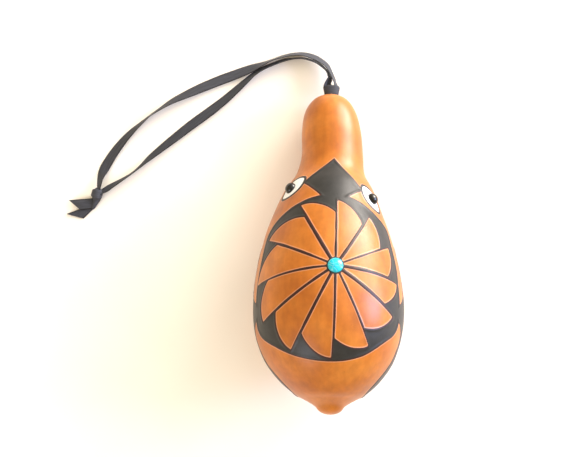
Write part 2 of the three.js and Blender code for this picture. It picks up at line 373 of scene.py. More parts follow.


# %% [markdown]
# ## The gourd's own frame
# The gourd is easiest to shape along a straight axis, as it grew. It then lies down on a small flat spot
# under the belly, with the slim neck tilted down by a given angle. One function turns places in the gourd's
# own frame into places on the table, and another finds a place on the skin from a station along the axis
# and an angle round it.

# %% Gourd outline and rest pose
# Station along the axis and radius in mm, from the blossom nub to the stem end. Station 0 is the widest.
OUTLINE = [
    (-44.7, 0), (-44.3, 2.5), (-43.2, 4.5), (-41.2, 6.3), (-38.8, 10.4), (-36.5, 14.7), (-31, 20.9),
    (-23, 26.6), (-12, 30.3), (0, 31.3), (14, 29.9), (28, 26.8), (40, 22.8), (49, 19.3), (57, 14.9),
    (66, 13.5), (77, 13.1), (86, 11.6), (91.8, 8.4), (94.5, 4), (95.3, 0),
]
# It grew a little crooked: station, and how far the middle lies towards +X there.
SWAY = [
    (-44.7, 1.2), (-38, 0.9), (-20, 0.2), (0, 0), (20, -0.4), (40, -0.5), (57, 0.4), (65, 1.1), (72, 0.95),
    (80, 0.45), (88, 0), (95.3, 0),
]
NECK_DROP = math.radians(14)
SPOT_DEPTH = 0.6
SPLINE_STEPS = 20


def smooth_line(points, steps):
    """A Catmull-Rom curve through points."""
    points = np.array(points, float)
    padded = np.vstack([points[:1], points, points[-1:]])
    t = np.linspace(0, 1, steps, endpoint=False)[:, None]
    spans = [
        0.5 * (2 * b + (c - a) * t + (2 * a - 5 * b + 4 * c - d) * t ** 2 + (3 * b - a - 3 * c + d) * t ** 3)
        for a, b, c, d in zip(padded, padded[1:], padded[2:], padded[3:])
    ]
    return np.vstack(spans + [points[-1:]])


STATIONS, RADII = smooth_line(OUTLINE, SPLINE_STEPS).T
SWAY_STATIONS, SWAYS = smooth_line(SWAY, SPLINE_STEPS).T
under_y = STATIONS * math.cos(NECK_DROP) - RADII * math.sin(NECK_DROP)
under_z = -STATIONS * math.sin(NECK_DROP) - RADII * math.cos(NECK_DROP)
lowest = under_z.argmin()
SHIFT = np.array([0, -under_y[lowest], -under_z[lowest] - SPOT_DEPTH])
LAY_DOWN = np.array(Matrix.Rotation(-NECK_DROP, 3, "X"))


def at_rest(places):
    """Places in the gourd's own frame, where they lie on the table."""
    return np.asarray(places, float) @ LAY_DOWN.T + SHIFT


def sway_at(station):
    """How far the middle of the gourd lies aside at a station."""
    return np.interp(station, SWAY_STATIONS, SWAYS)


def on_skin(station, angle):
    """A point of the skin, and the unit vectors outward, along the skin to the stem and round the gourd."""
    radius = np.interp(station, STATIONS, RADII)
    slope = np.interp(station, STATIONS, np.gradient(RADII) / np.gradient(STATIONS))
    turn = math.radians(angle)
    out = np.array([math.sin(turn), 0, math.cos(turn)])
    along = slope * out + np.array([0, 1, 0])
    along /= np.linalg.norm(along)
    around = np.array([math.cos(turn), 0, -math.sin(turn)])
    middle = np.array([sway_at(station), station, 0])
    return middle + radius * out, np.cross(around, along), along, around


print(f"Widest place: axis {SHIFT[2]:.1f} mm above the table, {-SHIFT[1]:.1f} mm from the flat spot")


# %% [markdown]
# ## Varnished gourd skin
# A dried gourd shell is close to soft wood. This one was dyed orange with leather dye, which takes unevenly
# and leaves blotches and faint streaks along the growth. The figure was drawn with a hot pen, which leaves
# dark brown lines, then filled with black and white paint, and the whole was varnished to a satin gloss. A
# paler band is painted just outside each burnt line. The mesh carries three distances in mm: to the burnt
# figure, to the black and the white paint, each below zero inside. The finish turns them into sharp edges.

# %% Skin finish
# In mm: blotches and mottle of the dye, streaks along the growth, pores, and the edges of the figure. The
# coordinates are squeezed along the axis for the streaks, which draws them out along it.
BLOTCH_SIZE = 16.0
MOTTLE_SIZE = 3.5
STREAK_WIDTH = 2.2
STREAK_SQUEEZE = 0.12
PORE_SPACING = 2.6
EDGE_SOFT = 0.09
PALE_EDGE = 0.55
# Burnt and painted parts are a little rougher than the bare skin, by this much.
CHAR_DULLS = 0.08


def dyed_shell(tree):
    """The bare dyed shell: its colour, and the blotches and mottle that the rest of the finish reads."""
    place = add_node(tree, "ShaderNodeTexCoord", output="Object")
    upright = add_node(tree, "ShaderNodeMapping", {"Vector": place, "Rotation": (NECK_DROP, 0, 0)})
    blotch = add_node(tree, "ShaderNodeTexNoise", {
        "Vector": upright, "Scale": 1 / (BLOTCH_SIZE * MM), "Detail": 4.0, "Roughness": 0.55})
    mottle = add_node(tree, "ShaderNodeTexNoise", {
        "Vector": upright, "Scale": 1 / (MOTTLE_SIZE * MM), "Detail": 5.0, "Roughness": 0.6})
    stretched = add_node(tree, "ShaderNodeMapping", {"Vector": upright, "Scale": (1, STREAK_SQUEEZE, 1)})
    streak = add_node(tree, "ShaderNodeTexNoise", {
        "Vector": stretched, "Scale": 1 / (STREAK_WIDTH * MM), "Detail": 3.0})
    dye = add_node(
        tree, "ShaderNodeValToRGB", {"Fac": blotch},
        stops=((0.3, linear("#a45812")), (0.72, linear("#c47728")), (0.5, linear("#b5671a"))),
    )
    uneven = add_node(tree, "ShaderNodeMath", {0: mottle, 1: streak}, operation="ADD")
    shade = add_node(
        tree, "ShaderNodeMapRange",
        {"Value": uneven, "From Min": 0.7, "From Max": 1.3, "To Min": 0.86, "To Max": 1.1},
    )
    shaded = add_node(tree, "ShaderNodeVectorMath", {0: dye, "Scale": shade}, operation="SCALE")
    pores = add_node(tree, "ShaderNodeTexVoronoi", {
        "Vector": upright, "Scale": 1 / (PORE_SPACING * MM), "Randomness": 1.0}, "Distance")
    pore = add_node(
        tree, "ShaderNodeMapRange",
        {"Value": pores, "From Min": 0.05, "From Max": 0.11, "To Min": 0.35, "To Max": 0.0},
    )
    skin = add_node(
        tree, "ShaderNodeMix", {"Factor": pore, "A": shaded, "B": linear("#8a4a18")}, data_type="RGBA",
    )
    return skin, blotch, mottle


def drawn_figure(tree, skin, mottle):
    """The colour with the figure over the shell, from pale edges to white paint, and what is burnt."""
    masks = {}
    for name in ("burnt", "black", "white"):
        distance = add_node(tree, "ShaderNodeAttribute", output="Fac", attribute_name=name)
        masks[name] = add_node(
            tree, "ShaderNodeMapRange",
            {"Value": distance, "From Min": -EDGE_SOFT, "From Max": EDGE_SOFT, "To Min": 1.0, "To Max": 0.0},
            interpolation_type="SMOOTHSTEP",
        )
    edge_distance = add_node(tree, "ShaderNodeAttribute", output="Fac", attribute_name="burnt")
    # A paler band painted just outside each burnt line, fading out by PALE_EDGE mm.
    pale = add_node(
        tree, "ShaderNodeMapRange",
        {"Value": edge_distance, "From Min": 0.1, "From Max": PALE_EDGE, "To Min": 0.4, "To Max": 0.0},
        interpolation_type="SMOOTHSTEP",
    )
    pale_banded = add_node(
        tree, "ShaderNodeMix", {"Factor": pale, "A": skin, "B": linear("#e6ad92")}, data_type="RGBA",
    )
    scorch = add_node(
        tree, "ShaderNodeValToRGB", {"Fac": mottle},
        stops=((0.35, linear("#220502")), (0.65, linear("#320905"))),
    )
    paint = add_node(
        tree, "ShaderNodeValToRGB", {"Fac": mottle},
        stops=((0.3, linear("#181817")), (0.7, linear("#242423"))),
    )
    burnt = add_node(
        tree, "ShaderNodeMix", {"Factor": masks["burnt"], "A": pale_banded, "B": scorch}, data_type="RGBA")
    black = add_node(
        tree, "ShaderNodeMix", {"Factor": masks["black"], "A": burnt, "B": paint}, data_type="RGBA")
    white = add_node(
        tree, "ShaderNodeMix", {"Factor": masks["white"], "A": black, "B": linear("#f3f5f8")},
        data_type="RGBA")
    return white, masks["burnt"]


def dyed_gourd():
    """Dyed, burnt, painted and varnished gourd shell: warm uneven orange under a satin gloss."""
    material, tree, shader = new_finish("dried_gourd_dyed_and_varnished")
    skin, blotch, mottle = dyed_shell(tree)
    colour, burnt = drawn_figure(tree, skin, mottle)
    varnish = add_node(tree, "ShaderNodeMapRange", {"Value": blotch, "To Min": 0.32, "To Max": 0.42})
    gloss = add_node(
        tree, "ShaderNodeMath", {0: burnt, 1: CHAR_DULLS, 2: varnish}, operation="MULTIPLY_ADD",
    )
    relief = add_node(
        tree, "ShaderNodeBump", {"Strength": 0.25, "Distance": 0.06 * MM, "Height": mottle}, output="Normal",
    )
    fill(shader, {
        "Base Color": colour, "Roughness": gloss, "Normal": relief, "IOR": 1.45,
        "Coat Weight": 0.12, "Coat Roughness": 0.3,
    })
    return material


gourd_skin = dyed_gourd()
print("Finish:", gourd_skin.name)


# %% [markdown]
# ## Gourd
# A gourd is nearly a turned shape, so its outline is spun round the axis, as on a lathe. Spin or the Screw
# modifier would do this too. A Geometry Nodes tree can also put more of the mesh on the painted front, add
# the slight lumps of a thing that grew, and store a wavering value for a drawing that looks made by hand.

# %% Lathe and gourd
OUTLINE_STEPS = 24
SEAM_REACH = 0.002
LUMP_SIZE = 25.0
WAVER_SIZE = 7.0


def lathe_tree():
    """Tree that spins an outline, given as points (0, station, radius), round the Y axis."""
    tree, given = new_tree("lathe", {
        "Rings": "Int", "Sides": "Int", "Front crowding": "Float",
        "Lump height": "Float", "Lump size": "Float", "Waver size": "Float", "Finish": "Material",
    })
    line = add_node(tree, "GeometryNodeMeshToCurve", {"Mesh": given["Geometry"]})
    bent = add_node(tree, "GeometryNodeCurveSplineType", {"Curve": line}, spline_type="CATMULL_ROM")
    outline = add_node(tree, "GeometryNodeSetSplineResolution", {
        "Geometry": bent, "Resolution": OUTLINE_STEPS})
    around = add_node(tree, "ShaderNodeMath", {0: given["Sides"], 1: 1.0}, operation="ADD")
    grid = add_node(tree, "GeometryNodeMeshGrid", {
        "Size X": 1.0, "Size Y": 1.0, "Vertices X": given["Rings"], "Vertices Y": around})
    step = add_node(tree, "ShaderNodeSeparateXYZ", {0: grid.node.outputs["UV Map"]}).node.outputs
    sample = add_node(
        tree, "GeometryNodeSampleCurve", {"Curves": outline, "Factor": step["X"]}, "Position", mode="FACTOR",
    )
    profile = add_node(tree, "ShaderNodeSeparateXYZ", {0: sample}).node.outputs
    whole = add_node(
        tree, "ShaderNodeMath", {0: step["Y"], 1: math.tau, 2: -math.pi}, operation="MULTIPLY_ADD",
    )
    wave = add_node(tree, "ShaderNodeMath", {0: whole}, operation="SINE")
    crowd = add_node(tree, "ShaderNodeMath", {0: wave, 1: given["Front crowding"]}, operation="MULTIPLY")
    angle = add_node(tree, "ShaderNodeMath", {0: whole, 1: crowd}, operation="SUBTRACT")
    sine = add_node(tree, "ShaderNodeMath", {0: angle}, operation="SINE")
    cosine = add_node(tree, "ShaderNodeMath", {0: angle}, operation="COSINE")
    out = add_node(tree, "ShaderNodeCombineXYZ", {"X": sine, "Z": cosine})
    spun = add_node(tree, "ShaderNodeVectorMath", {0: out, "Scale": profile["Z"]}, operation="SCALE")
    axis = add_node(tree, "ShaderNodeCombineXYZ", {"Y": profile["Y"]})
    surface = add_node(tree, "ShaderNodeVectorMath", {0: spun, 1: axis}, operation="ADD")
    shaped = add_node(tree, "GeometryNodeSetPosition", {"Geometry": grid, "Position": surface})
    closed = add_node(tree, "GeometryNodeMergeByDistance", {"Geometry": shaped, "Distance": SEAM_REACH * MM})
    position = add_node(tree, "GeometryNodeInputPosition")
    lump_scale = add_node(tree, "ShaderNodeMath", {0: 1.0, 1: given["Lump size"]}, operation="DIVIDE")
    lumps = add_node(tree, "ShaderNodeTexNoise", {"Vector": position, "Scale": lump_scale, "Detail": 1.0})
    centred = add_node(tree, "ShaderNodeMath", {0: lumps, 1: 0.5}, operation="SUBTRACT")
    rise = add_node(tree, "ShaderNodeMath", {0: centred, 1: given["Lump height"]}, operation="MULTIPLY")
    normal = add_node(tree, "GeometryNodeInputNormal")
    lift = add_node(tree, "ShaderNodeVectorMath", {0: normal, "Scale": rise}, operation="SCALE")
    grown = add_node(tree, "GeometryNodeSetPosition", {"Geometry": closed, "Offset": lift})
    waver_scale = add_node(tree, "ShaderNodeMath", {0: 1.0, 1: given["Waver size"]}, operation="DIVIDE")
    waver = add_node(tree, "ShaderNodeTexNoise", {"Vector": position, "Scale": waver_scale, "Detail": 2.0})
    marked = add_node(
        tree, "GeometryNodeStoreNamedAttribute",
        {"Geometry": grown, "Name": "waver", "Value": waver}, data_type="FLOAT", domain="POINT",
    )
    return close_tree(tree, marked, given["Finish"])


LATHE = lathe_tree()


def turn_shape(name, outline, finish, rings, sides, crowding=0.0, lump_height=0.0):
    """A turned piece from an outline of (station, radius) in mm."""
    line = polyline(name, [(0, station, radius) for station, radius in outline])
    return grow(line, LATHE, {
        "Rings": rings, "Sides": sides, "Front crowding": crowding, "Lump height": lump_height * MM,
        "Lump size": LUMP_SIZE * MM, "Waver size": WAVER_SIZE * MM, "Finish": finish,
    })


gourd = turn_shape("gourd", OUTLINE, gourd_skin, rings=310, sides=310, crowding=0.35, lump_height=0.35)
skin_points = vertex_places(gourd)
skin_points[:, 0] += sway_at(skin_points[:, 1])
print("Gourd vertices:", len(skin_points))


# %% [markdown]
# ## The wheel on the front
# The figure is of a traditional kind, so it is drawn by rule. Straight distances from the hub, as a pair of
# compasses measures them, and twelve nearly even sectors give the wheel: each blade's tip lies on one
# circle, and its outer edge falls back to the next spoke. Every shape is a distance in mm that is negative
# inside, because distances can be joined, cut and offset with minimum and maximum, and stay sharp on a fine
# mesh.

# %% Wheel
HUB_STATION, HUB_ANGLE = 9.5, 2.0
HUB_RING = 3.5
PEN_LINE = 0.55
BLADES = 12
# The circle of the tips: its radius, and its middle to the right of the hub and up from it.
TIP_CIRCLE = 32.6
TIP_CENTRE = (-3.6, -2.5)
# A blade's heel, as a share of its tip's reach, and the power by which the edge falls back to it. The edge
# slants, so the distance to it is a little shorter than the one along the spoke.
HEEL_SHARE = 0.78
EDGE_FALL = 1.6
EDGE_EASE = 0.9
# The maker drew the spokes by eye. Anticlockwise from the one on the right, these are the widths of the
# lines, and the degrees that they stand off an even twelfth. The upper ones also bow a little upwards.
SPOKE_WIDTHS = np.array([1.5, 0.9, 1.25, 0.95, 1.3, 1.05, 1.0, 1.25, 1.3, 1.15, 0.95, 1.6])
SPOKE_DRIFT = np.array([-3.5, -2.0, -1.5, -2.0, -2.5, 2.5, 4.5, 4.5, 3.0, -0.7, -4.3, -3.0])
SPOKE_BOW = math.radians(6)
BOW_REACH = 20.0
# The outer edge of the ring, as direction in degrees and distance from the hub.
RING_EDGE = [
    (-76, 36.2), (-56, 35.5), (-38, 37), (-22, 33.6), (-5, 31.1), (12, 31.3), (30, 32.7),
    (44, 35.6), (58, 33.5), (80, 33), (106, 33.1), (125, 34.7), (142, 37.4), (160, 35.8),
    (180, 36.5), (198, 39), (216, 42.8), (234, 39.4), (258, 37),
]


def compass_chart(points):
    """Distance from the hub and direction round it, and the same as right and up."""
    middle, _, along, around = on_skin(HUB_STATION, HUB_ANGLE)
    offset = points - middle
    reach = np.linalg.norm(offset, axis=1)
    turn = np.arctan2(offset @ along, offset @ around)
    return reach, turn, reach * np.cos(turn), reach * np.sin(turn)


def ring_edge(reach, turn):
    """Distance from the ring's outer edge, a closed smooth line round the hub."""
    whole_turn = [(angle + 360 * k, edge) for k in (-1, 0, 1) for angle, edge in RING_EDGE]
    angles, edges = smooth_line(whole_turn, SPLINE_STEPS).T
    edge = np.interp(np.degrees(turn), angles, edges)
    slope = np.interp(np.degrees(turn), angles, np.gradient(edges, np.radians(angles)))
    return (reach - edge) / np.hypot(1, slope / edge)


def wheel(points):
    """The wheel's dark parts, and the part of them that is filled with paint."""
    reach, turn, _, _ = compass_chart(points)
    away = np.hypot(*TIP_CENTRE)
    towards = turn - math.atan2(TIP_CENTRE[1], TIP_CENTRE[0])
    tip = away * np.cos(towards) + np.sqrt(TIP_CIRCLE ** 2 - (away * np.sin(towards)) ** 2)
    sector = math.tau / BLADES
    bowed = turn - SPOKE_BOW * (reach / BOW_REACH - 1) * np.cos(turn) * np.clip(2 * np.sin(turn), 0, 1)
    even = np.arange(-BLADES, BLADES) * sector
    drawn = even + np.radians(np.tile(SPOKE_DRIFT, 2))
    count = np.interp(bowed, drawn, even) / sector
    share = count % 1
    edge = tip * (1 - (1 - HEEL_SHARE) * (1 - share) ** EDGE_FALL)
    off_spoke = reach * np.sin(np.minimum(share, 1 - share) * sector)
    half_line = SPOKE_WIDTHS[np.round(count).astype(int) % BLADES] / 2
    past_edge = EDGE_EASE * (reach - edge)
    blade = np.maximum.reduce([past_edge, half_line - off_spoke, HUB_RING - reach])
    ring = ring_edge(reach, turn)
    stone_seat = reach - HUB_RING - PEN_LINE
    return np.maximum(ring, -blade), np.minimum(np.maximum(ring, -past_edge), stone_seat)


wheel_dark, wheel_paint = wheel(skin_points)
print(f"Wheel: {np.mean(wheel_dark < 0):.0%} of the skin's points are dark")


# %% [markdown]
# ## Kite head and flank leaves
# The kite has straight sides, so a point's distance to it is the largest of its distances to the sides. A
# leaf of paint lies along each flank, where only its edge shows from the front. It is measured on the skin,
# along the axis and round the gourd, and a knee towards the front runs into the wheel.

# %% Kite head and flank leaves
# The kite's corners, to the right of the hub and up from it.
KITE = [(0.8, 53), (-12.6, 41.2), (-3.2, 29.5), (3.2, 29.5), (12.9, 38.0)]
# The leaves: stations of the two ends, half width, and the angle of each one's middle round the gourd. The
# chart of the skin is a little stretched, so its distances are eased.
LEAF_ENDS = (-38, 26)
LEAF_HALF_WIDTH = 9.4
LEAF_ANGLES = (-101, 90)
LEAF_EASE = 0.85
KNEE_STATION = -5.5
KNEE_WIDTH = 9.0
KNEE_HALF = 5.5


def kite(points):
    """The kite head, whose foot runs into the wheel."""
    _, _, right, up = compass_chart(points)
    corners = np.array(KITE)
    sides = []
    for (x0, y0), (x1, y1) in zip(corners, np.roll(corners, -1, axis=0)):
        length = math.hypot(x1 - x0, y1 - y0)
        sides.append(((right - x0) * (y1 - y0) - (up - y0) * (x1 - x0)) / length)
    return np.maximum.reduce(sides)


def flank_leaves(points):
    """The leaf of paint on each flank, with a knee towards the front that runs into the wheel."""
    across = points[:, 0] - sway_at(points[:, 1])
    station, radius = points[:, 1], np.hypot(across, points[:, 2])
    angle = np.arctan2(across, points[:, 2])
    middle, half_length = np.mean(LEAF_ENDS), np.ptp(LEAF_ENDS) / 2
    past = np.maximum(np.abs(station - middle) - half_length + LEAF_HALF_WIDTH, 0)
    knee = KNEE_WIDTH * np.exp(-((station - KNEE_STATION) / KNEE_HALF) ** 2)
    leaves = []
    for leaf in LEAF_ANGLES:
        aside = ((angle - math.radians(leaf) + math.pi) % math.tau - math.pi) * radius
        reach = LEAF_HALF_WIDTH + np.where(aside * leaf < 0, knee, 0)
        leaves.append(LEAF_EASE * (np.hypot(past, aside) - reach))
    return np.minimum(*leaves)


solid_shapes = np.minimum(kite(skin_points), flank_leaves(skin_points))
print(f"Kite and leaves: {np.mean(solid_shapes < 0):.0%} of the skin's points")


# %% [markdown]
# ## Almond eyes
# An almond is the overlap of two circles, and a brush rounds off its two points. Each eye lies askew on a
# shoulder, so it is measured on the skin, along its own lean and across it.

# %% Almond eyes
EYES = [
    {"station": 46.9, "angle": -52.0, "lean": 47},
    {"station": 42.4, "angle": 51.2, "lean": -31},
]
EYE_HALF = (6.2, 4.0)
EYE_ROUNDING = 1.6


def eyes(points):
    """The two almond eyes."""
    almonds = []
    half_length, half_width = (size - EYE_ROUNDING for size in EYE_HALF)
    bend = (half_length ** 2 + half_width ** 2) / (2 * half_width)
    for eye in EYES:
        middle, out, along, around = on_skin(eye["station"], eye["angle"])
        lean = math.radians(eye["lean"])
        offset = points - middle
        long_way = offset @ (math.cos(lean) * along + math.sin(lean) * around)
        short_way = offset @ (math.cos(lean) * around - math.sin(lean) * along)
        past_tip, aside = np.abs(long_way) - half_length, np.abs(short_way)
        off_side = np.hypot(long_way, aside + bend - half_width) - bend
        at_tip = past_tip * (bend - half_width) > aside * half_length
        almond = np.where(at_tip, np.hypot(past_tip, aside), off_side) - EYE_ROUNDING
        almonds.append(np.where(offset @ out > -EYE_HALF[0], almond, EYE_HALF[0]))
    return np.minimum(*almonds)


almond = eyes(skin_points)
print(f"Eyes: {np.mean(almond < 0):.1%} of the skin's points")


# %% [markdown]
# ## Burnt lines and paint
# The outlines were burnt first and then filled, so the black paint stays one pen line inside the burnt edge.
# A slow waver on the distances makes the edges look drawn by hand. The three distances are stored on the
# mesh for the finish to read.

# %% Burnt lines and paint
EYE_LINE = 1.15
HAND_WAVER = 0.45


def attribute_of(obj, name):
    """An object's stored values, one for each vertex."""
    values = np.empty(len(obj.data.vertices), np.float32)
    obj.data.attributes[name].data.foreach_get("value", values)
    return values


waver = HAND_WAVER * (attribute_of(gourd, "waver") - 0.5)
dark = np.minimum(wheel_dark, solid_shapes) + waver
paint = np.minimum(wheel_paint, solid_shapes) + waver + PEN_LINE
figure = {
    "burnt": np.minimum(dark, almond - EYE_LINE),
    "black": np.minimum(paint, almond - EYE_LINE),
    "white": almond,
}
for name, distance in figure.items():
    layer = gourd.data.attributes.new(name, "FLOAT", "POINT")
    layer.data.foreach_set("value", distance.astype(np.float32))
    print(f"{name}: {np.mean(distance < 0):.0%} of the skin's points")


# %% [markdown]
# ## Burnt grooves and the flat spot
# A hot pen sinks into the shell, so the lines are shallow grooves, and they are made as such: each point
# moves inward by a small bell-shaped depth beside a dark edge. A bump map would do this in the picture only,
# and the mesh is fine enough. Then the gourd is laid down, and what would reach below the table is pressed
# flat.

# %% Grooves and rest pose
GROOVE_DEPTH = 0.22
GROOVE_HALF = 0.38


def move_vertices(obj, places):
    """Puts an object's vertices at these places in mm."""
    obj.data.vertices.foreach_set("co", (places * MM).astype(np.float32).ravel())
    obj.data.update()


def place_piece(obj, slot, *nodes):
    """The piece rides on the one body and stands for its plain solids; the slot is not used."""
    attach(obj, "root")
    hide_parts(*nodes)
    obj.name = nodes[0] + "_visual"
    print(f"{obj.name}: {len(obj.data.polygons)} faces")
    return obj


normals = np.empty(len(skin_points) * 3, np.float32)
gourd.data.vertices.foreach_get("normal", normals)
groove = GROOVE_DEPTH * np.exp(-((figure["burnt"] + PEN_LINE) / GROOVE_HALF) ** 2)
sunk = skin_points - normals.reshape(-1, 3) * groove[:, None]
rested = at_rest(sunk)
rested[:, 2] = np.maximum(rested[:, 2], 0)
move_vertices(gourd, rested)
place_piece(gourd, "gourd_skin", "gourd")
print(f"Flat spot: {np.sum(rested[:, 2] <= 0)} points on the table")


# %% [markdown]
# ## Turquoise, glass and brass
# Three small shiny materials catch the light. The stone is polished, cloudy, with a few pale veins. The
# pupils are pressed glass, almost black. The screw eye is drawn wire, a little tarnished. Each pattern is a
# noise that runs through the piece, so nothing has to be wrapped round these small domes and wires.

# %% Stone, glass and brass finishes
# In mm.
CLOUD_SIZE = 1.8
VEIN_SPACING = 2.4
HAZE_SIZE = 1.5
TARNISH_SIZE = 0.8


def polished_turquoise():
    """Polished turquoise: bright blue-green, clouded, with a few pale veins of its parent rock."""
    material, tree, shader = new_finish("turquoise_polished")
    place = add_node(tree, "ShaderNodeTexCoord", output="Object")
    cloud = add_node(tree, "ShaderNodeTexNoise", {
        "Vector": place, "Scale": 1 / (CLOUD_SIZE * MM), "Detail": 4.0})
    stone = add_node(
        tree, "ShaderNodeValToRGB", {"Fac": cloud},
        stops=((0.3, linear("#00a6c0")), (0.7, linear("#12d2e4"))),
    )
    cells = add_node(
        tree, "ShaderNodeTexVoronoi", {"Vector": place, "Scale": 1 / (VEIN_SPACING * MM)}, "Distance",
        feature="DISTANCE_TO_EDGE",
    )
    vein = add_node(
        tree, "ShaderNodeMapRange",
        {"Value": cells, "From Min": 0.0, "From Max": 0.05, "To Min": 0.35, "To Max": 0.0},
    )
    colour = add_node(
        tree, "ShaderNodeMix", {"Factor": vein, "A": stone, "B": linear("#a9d8d2")}, data_type="RGBA")
    gloss = add_node(tree, "ShaderNodeMapRange", {"Value": cloud, "To Min": 0.12, "To Max": 0.24})
    fill(shader, {"Base Color": colour, "Roughness": gloss, "IOR": 1.61})
    return material


def black_glass():
    """Pressed black glass: near black, wet gloss, a faint haze from handling."""
    material, tree, shader = new_finish("black_glass_pressed")
    place = add_node(tree, "ShaderNodeTexCoord", output="Object")
    haze = add_node(tree, "ShaderNodeTexNoise", {
        "Vector": place, "Scale": 1 / (HAZE_SIZE * MM), "Detail": 3.0})
    colour = add_node(
        tree, "ShaderNodeValToRGB", {"Fac": haze},
        stops=((0.35, linear("#060607")), (0.7, linear("#121214"))),
    )
    gloss = add_node(tree, "ShaderNodeMapRange", {"Value": haze, "To Min": 0.04, "To Max": 0.14})
    fill(shader, {"Base Color": colour, "Roughness": gloss, "IOR": 1.52})
    return material


def drawn_brass():
    """Drawn brass wire: warm yellow metal, bright where it is rubbed and dull where it has tarnished."""
    material, tree, shader = new_finish("brass_wire_drawn")
    place = add_node(tree, "ShaderNodeTexCoord", output="Object")
    tarnish = add_node(tree, "ShaderNodeTexNoise", {
        "Vector": place, "Scale": 1 / (TARNISH_SIZE * MM), "Detail": 4.0})
    colour = add_node(
        tree, "ShaderNodeValToRGB", {"Fac": tarnish},
        stops=((0.35, linear("#8f6f34")), (0.65, linear("#c9a35a"))),
    )
    gloss = add_node(tree, "ShaderNodeMapRange", {"Value": tarnish, "To Min": 0.4, "To Max": 0.22})
    fill(shader, {"Base Color": colour, "Roughness": gloss, "Metallic": 1.0})
    return material


turquoise = polished_turquoise()
glass = black_glass()
brass = drawn_brass()
print("Finishes:", turquoise.name, glass.name, brass.name)


# %% [markdown]
# ## Cabochon and pupils
# The cabochon and the beads are small turned domes with a flat back, so the lathe tree makes them too. Each
# is turned in its own frame and then set on the skin along the skin's normal.

# %% Cabochon and pupils
CABOCHON = {"radius": 3.0, "girdle": 0.7, "height": 2.2, "sunk": 0.5}
BEAD = {"radius": 2.5, "girdle": 0.5, "height": 2.6, "sunk": 0.3}
BEAD_PLACES = {"bead_eye_left": (46.8, -55), "bead_eye_right": (42.5, 53)}
DOME_STEPS = 7
BACK_SHARES = (0.6, 0.97)
RIM_BEVEL = 0.12


def set_dome(name, finish, sizes, station, angle):
    """A flat-backed dome with a softened girdle, set into the skin."""
    radius, girdle, height, sunk = (sizes[key] for key in ("radius", "girdle", "height", "sunk"))
    back = [(-sunk, radius * share) for share in (0, *BACK_SHARES)]
    rim = (RIM_BEVEL - sunk, radius)
    sweep = np.linspace(0, math.pi / 2, DOME_STEPS)
    crown = [(girdle - sunk + (height - girdle) * math.sin(turn), radius * math.cos(turn)) for turn in sweep]
    crown[-1] = (height - sunk, 0)
    dome = turn_shape(name, [*back, rim, *crown], finish, rings=48, sides=72)
    point, out, along, around = on_skin(station, angle)
    places = vertex_places(dome)
    move_vertices(dome, at_rest(point + places @ np.array([around, out, -along])))
    return dome


cabochon = set_dome("hub_cabochon", turquoise, CABOCHON, HUB_STATION, HUB_ANGLE)
place_piece(cabochon, "turquoise", "hub_cabochon")
for name, (station, angle) in BEAD_PLACES.items():
    place_piece(set_dome(name, glass, BEAD, station, angle), "black_bead", name)


# %% [markdown]
# ## Hitch
# The doubled ribbon is looped through the screw eye and its ends drawn through the loop: a band shows across
# the front, and the two strands rise out of it side by side. The band is a closed line and each rise a short
# open one, so the ribbon tree sweeps all three, and they are joined into one piece.

# %% Hitch round the screw eye
# The band in the gourd's own frame: its station, how far its middle lies towards +X, and its half sizes.
HITCH_STATION = 97.7
HITCH_MIDDLE = 0.45
HITCH_HALF = (3.3, 2.0)
HITCH_FLARE = 0.19
HITCH_SIDES = 16
BAND_WIDTH = 4.4
BAND_STEP = 0.5
FOLD_STEP = 0.4
# Each strand's rise in the gourd's own frame: its middle line, and the way of its width at each point.
HITCH_RISES = {
    "ribbon_strand_inner": (
        [(-1.5, 99.3, -0.4), (-1.5, 99.9, -0.3), (-1.1, 101.5, -0.2), (-0.6, 103.0, -0.1)],
        [(-0.68, 0, 0.73), (-0.68, 0, 0.73), (-0.58, 0, 0.81), (-0.46, 0, 0.89)]),
    "ribbon_strand_outer": (
        [(2.75, 99.3, -0.4), (2.75, 99.9, -0.3), (2.4, 101.5, -0.2), (1.8, 103.0, -0.1)],
        [(-0.55, 0, 0.83), (-0.52, 0, 0.85), (-0.46, 0, 0.89), (-0.42, 0, 0.9)]),
}


def hitch_band():
    """The band of the loop, round the two strands, wider towards the strands."""
    turns = np.linspace(0, math.tau, HITCH_SIDES, endpoint=False)
    ring = np.column_stack([
        HITCH_MIDDLE + HITCH_HALF[0] * np.cos(turns), np.full(HITCH_SIDES, HITCH_STATION),
        HITCH_HALF[1] * np.sin(turns)])
    flare = np.column_stack([
        HITCH_FLARE * np.cos(turns), np.ones(HITCH_SIDES), HITCH_FLARE * np.sin(turns)])
    section = ribbon_section(BAND_WIDTH)
    band = sweep_ribbon(
        "hitch_band", at_rest(ring), flare @ LAY_DOWN.T, closed=True, section=section, step=BAND_STEP)
    bpy.data.objects.remove(section)
    return band


def hitch_rise(strand, middles, ways):
    """One strand's short rise out of the band, until it runs into the strand."""
    line = np.vstack([at_rest(middles), strand["line"][0], strand["line"][2]])
    ways = np.vstack([np.array(ways, float) @ LAY_DOWN.T, strand["first_way"], strand["first_way"]])
    return sweep_ribbon("hitch_rise", line, ways, step=FOLD_STEP)


def join(name, pieces):
    """Joins pieces into one object."""
    with bpy.context.temp_override(active_object=pieces[0], selected_editable_objects=pieces):
        bpy.ops.object.join()
    pieces[0].name = name
    return pieces[0]


hitch = join("ribbon_hitch", [
    hitch_band(),
    *(hitch_rise(strands[name], *rise) for name, rise in HITCH_RISES.items()),
])
place_piece(hitch, "satin_ribbon", "ribbon_hitch")


# %% [markdown]
# ## Cut tails
# The ends of the ribbon were cut on the slant with scissors. A sweep ends square, so a tail is a small sheet
# between four corners instead, bulged along its middle, and Solidify gives it its thickness. The fold where
# the tails leave the knot is such a sheet too.

